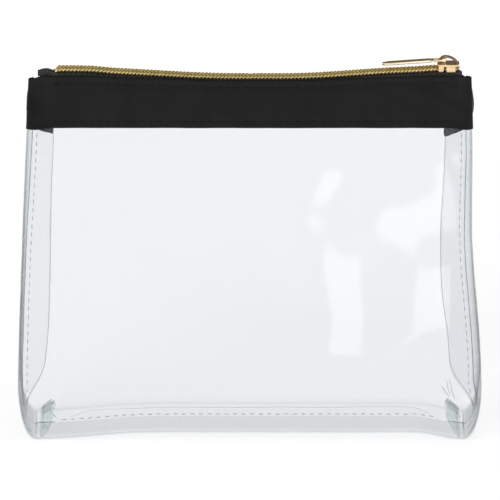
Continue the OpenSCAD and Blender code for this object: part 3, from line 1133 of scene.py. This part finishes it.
def makeSlider():
    def flat(a, b, level):
        return Vector((slider["x"] + a, b, level))

    shape = newShape()
    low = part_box("slider_body")[0].z
    addExtrusion(shape, heartOutline(), plateTop - slider["plate"], plateTop, flat)
    addExtrusion(shape, heartOutline(), low, low + slider["plate"], flat)
    half = slider["length"] / 2
    lips = [(-half + 0.3 * mm, -half + 3.0 * mm, 3.72 * mm, 0.5 * mm),
            (-half + 3.7 * mm, half - 1.6 * mm, 3.95 * mm, 1.0 * mm)]
    for side in (-1, 1):  # lips that wrap round the coils, with a waist between tail and shoulder
        for start, end, out, step in lips:
            outline = [(start, 3.3 * mm), (end, 3.3 * mm),
                       (end - 0.2 * mm, out - 0.1 * mm), (start + 0.3 * mm, out)]
            outline = [(a, side * b) for a, b in (outline if side > 0 else reversed(outline))]
            addExtrusion(shape, outline, tapeTop + 0.3 * mm, plateTop - step, flat)
    post = [(half - 4.0 * mm, 0), (half - 2.4 * mm, -0.2 * mm),
            (half - 0.5 * mm, 0), (half - 2.4 * mm, 0.2 * mm)]
    addExtrusion(shape, post, low + 0.4 * mm, plateTop - 0.4 * mm, flat)
    item = makePiece("sliderBody", shape, [bodyGold], bevel=slider["bevel"])
    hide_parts("slider_body")
    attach(item, "slider")


def makeBridge():
    # a band of metal arched from the tail to the nose of the top plate
    corners = [(-3.6, 1.9), (-3.7, 3.2), (-3.2, 4.6), (-1.9, 5.35), (-0.2, 5.3), (1.5, 4.75),
               (2.9, 3.85), (3.8, 2.8), (4.1, 1.9)]
    path = []
    for k in range(len(corners) - 1):  # an even curve through the corners
        p0, p1 = corners[max(k - 1, 0)], corners[k]
        p2, p3 = corners[k + 1], corners[min(k + 2, len(corners) - 1)]
        for step in range(3):
            t = step / 3
            path.append(tuple(
                0.5 * (2 * b + (c - a) * t + (2 * a - 5 * b + 4 * c - d) * t * t
                       + (3 * b - a - 3 * c + d) * t ** 3)
                for a, b, c, d in zip(p0, p1, p2, p3)))
    path.append(corners[-1])
    shape = newShape()
    rings = []
    for i, (a, b) in enumerate(path):
        before, after = path[max(i - 1, 0)], path[min(i + 1, len(path) - 1)]
        length = math.hypot(after[0] - before[0], after[1] - before[1])
        na, nb = -(after[1] - before[1]) / length, (after[0] - before[0]) / length
        ring = []
        for k in range(12):
            turn = 2 * math.pi * k / 12
            wide = 0.9 * math.copysign(abs(math.cos(turn)) ** 0.55, math.cos(turn))
            deep = 0.52 * math.copysign(abs(math.sin(turn)) ** 0.6, math.sin(turn))
            x = slider["x"] + (a + na * deep) * mm
            ring.append(Vector((x, wide * mm, zipHeight + (b + nb * deep) * mm)))
        rings.append(ring)
    addRings(shape, rings)
    # the bridge takes the darker gold, painted shade
    item = makePiece("sliderBridge", shape, [shadedBridgeGold], subdivide=1)
    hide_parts("slider_bridge")
    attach(item, "slider")


def makePull():
    tilt = math.radians(pull["slope"])

    def lay(a, b, c):  # a runs back from the pin along the bar, b across it, c up from it
        return Vector((pull["pinX"] - a * math.cos(tilt) - c * math.sin(tilt), b,
                       pull["pinZ"] - a * math.sin(tilt) + c * math.cos(tilt)))

    shape = newShape()
    half = pull["width"] / 2
    reach = pull["length"]
    edge = [(5.4 * mm, -1.2 * mm), (6.6 * mm, -half), (reach - 3.2 * mm, -half),
            (reach - 1.2 * mm, -half + 0.6 * mm), (reach, -0.5 * mm)]
    outline = edge + [(a, -b) for a, b in reversed(edge)]
    addExtrusion(shape, list(reversed(outline)), -pull["thick"] / 2, pull["thick"] / 2, lay)
    for side in (-1, 1):
        arm = [(-0.9 * mm, -0.45 * mm), (-0.9 * mm, 0.45 * mm), (-0.45 * mm, 0.9 * mm), (0.45 * mm, 0.9 * mm),
               (1.1 * mm, 0.45 * mm), (5.8 * mm, 0.42 * mm), (5.8 * mm, -0.42 * mm), (1.1 * mm, -0.45 * mm),
               (0.45 * mm, -0.9 * mm), (-0.45 * mm, -0.9 * mm)]
        inner, outer = 1.22 * mm, 1.98 * mm
        low, high = (inner, outer) if side > 0 else (-outer, -inner)
        addExtrusion(shape, list(reversed(arm)), low, high, lambda a, c, level: lay(a, level, c))
    neck = [(4.6 * mm, -1.9 * mm), (4.6 * mm, 1.9 * mm), (6.2 * mm, 1.75 * mm), (6.2 * mm, -1.75 * mm)]
    addExtrusion(shape, neck, -0.45 * mm, 0.45 * mm, lay)
    pin = [(0.58 * mm * math.cos(math.pi * k / 8), 0.58 * mm * math.sin(math.pi * k / 8)) for k in range(16)]
    addExtrusion(shape, pin, -1.5 * mm, 1.5 * mm, lambda a, c, level: lay(a, level, c))
    item = makePiece("pullTab", shape, [pullGold], bevel=pull["bevel"])
    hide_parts("pull_tab")
    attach(item, "pull")


makeSlider()
makeBridge()
makePull()
print("stage: slider and pull made")

stitch = {"long": 2.75 * mm, "radius": 0.17 * mm, "dip": 0.16 * mm, "filmLong": 1.9 * mm}


def addStitch(shape, start, end, out):
    # one stitch: a short thread that dips into the material at both ends
    def taper(share):
        return stitch["radius"] * (0.35 + 0.65 * math.sin(math.pi * min(max(share, 0.06), 0.94)) ** 0.4)

    line = []
    for i in range(6):
        share = i / 5
        lift = stitch["dip"] * (4 * share * (1 - share)) - stitch["dip"] * 0.75
        line.append(start.lerp(end, share) + out * lift)
    addTube(shape, line, taper)


def bandStitches(shape, low, high, z, back, seed):
    pitch = pouch["stitchPitch"]
    sign = 1 if back else -1
    first = math.ceil(low / pitch)
    for i in range(first, int(high // pitch)):
        start = i * pitch + (pitch - stitch["long"]) / 2
        ends = []
        for x in (start, start + stitch["long"]):
            deep = halfDepth(z) + band["outer"] + bandOut(x, z, seed) + 0.10 * mm
            droop = bandSag(x, z, back) + 0.18 * mm * ripple(x, 0, 19 * mm, seed + 6)
            ends.append(Vector((x, sign * deep, z + droop)))
        addStitch(shape, ends[0], ends[1], Vector((0, sign, 0)))


def tapeStitches(shape, low, high, back):
    pitch = 2.4 * mm
    sign = 1 if back else -1
    for i in range(math.ceil(low / pitch), int(high // pitch)):
        ends = [Vector((i * pitch + step, sign * 3.9 * mm, tapeTop + zipSag(i * pitch) - 0.02 * mm))
                for step in (0.2 * mm, 2.0 * mm)]
        addStitch(shape, ends[0], ends[1], Vector((0, 0, 1)))


def makeBandStitches():
    hemHeight = bandLow + band["hemRow"]
    topHeight = bandTop - band["topRow"]
    pieces = [("frontBandStitches", -88, 88, False), ("backBandStitchesLeft", -88, 0, True),
              ("backBandStitchesRight", 0, 88, True)]
    for name, low, high, back in pieces:
        shape = newShape()
        seed = band["backSeed"] if back else band["frontSeed"]
        bandStitches(shape, low * mm, high * mm, hemHeight, back, seed)
        bandStitches(shape, low * mm, high * mm, topHeight, back, seed)
        tapeStitches(shape, max(low, -83) * mm, min(high, 80) * mm, back)
        item = makePiece(name, shape, [bandThread])
        if back:
            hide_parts("back_hem_stitch", "back_top_stitch", "back_tape_stitch")
            bendWithLip(item)
        else:
            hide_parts("front_hem_stitch", "front_top_stitch", "front_tape_stitch")
            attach(item, "root")


def makeFilmStitches():
    pitch = pouch["stitchPitch"]
    for side, name in ((-1, "left"), (1, "right")):
        shape = newShape()
        for i in range(4, int((bandLow - 2 * mm) // pitch)):
            ends = []
            for z in (i * pitch, i * pitch + stitch["filmLong"]):
                x = side * (sideWidth(z, side) - valleyAt(z, side) - 2.2 * mm)
                ends.append(Vector((x, -1.15 * mm, z)))
            addStitch(shape, ends[0], ends[1], Vector((0, -1, 0)))
        item = makePiece("sideStitches" + name.title(), shape, [filmThread])
        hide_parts("side_seam_" + name)
        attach(item, "root")
        shape = newShape()
        for i in range(-5, 5):
            ends = []
            for y in (i * pitch + 0.4 * mm, i * pitch + 0.4 * mm + stitch["filmLong"]):
                bow = 1 - (y / (21 * mm)) ** 2
                reach = 1.9 * mm
                x = pouch["floorHalf"] - 1.2 * mm - 0.70 * reach
                ends.append(Vector((side * (x - 0.35 * mm), y, 0.9 * mm + 4.4 * mm * bow + 0.62 * reach
                                    + baseRise(side * x) + 0.45 * mm)))
            addStitch(shape, ends[0], ends[1], Vector((-side * 0.8, 0, 0.6)))
        item = makePiece("cornerStitches" + name.title(), shape, [filmThread])
        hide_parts("corner_seam_" + name)
        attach(item, "root")
    shape = newShape()
    half = pouch["floorHalf"] - 10 * mm
    for i in range(math.ceil(-half / pitch), int(half // pitch)):
        ends = []
        for x in (i * pitch, i * pitch + stitch["filmLong"]):
            ends.append(Vector((x, 0.35 * mm, baseRise(x) + 1.68 * mm + 0.1 * mm * math.sin(x * 900))))
        addStitch(shape, ends[0], ends[1], Vector((0, 0, 1)))
    item = makePiece("baseStitches", shape, [filmThread])
    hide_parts("base_seam")
    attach(item, "root")


makeBandStitches()
makeFilmStitches()
print("stage: stitches made")

makeRoom()
makeCamera()
print("stage: scene ready")
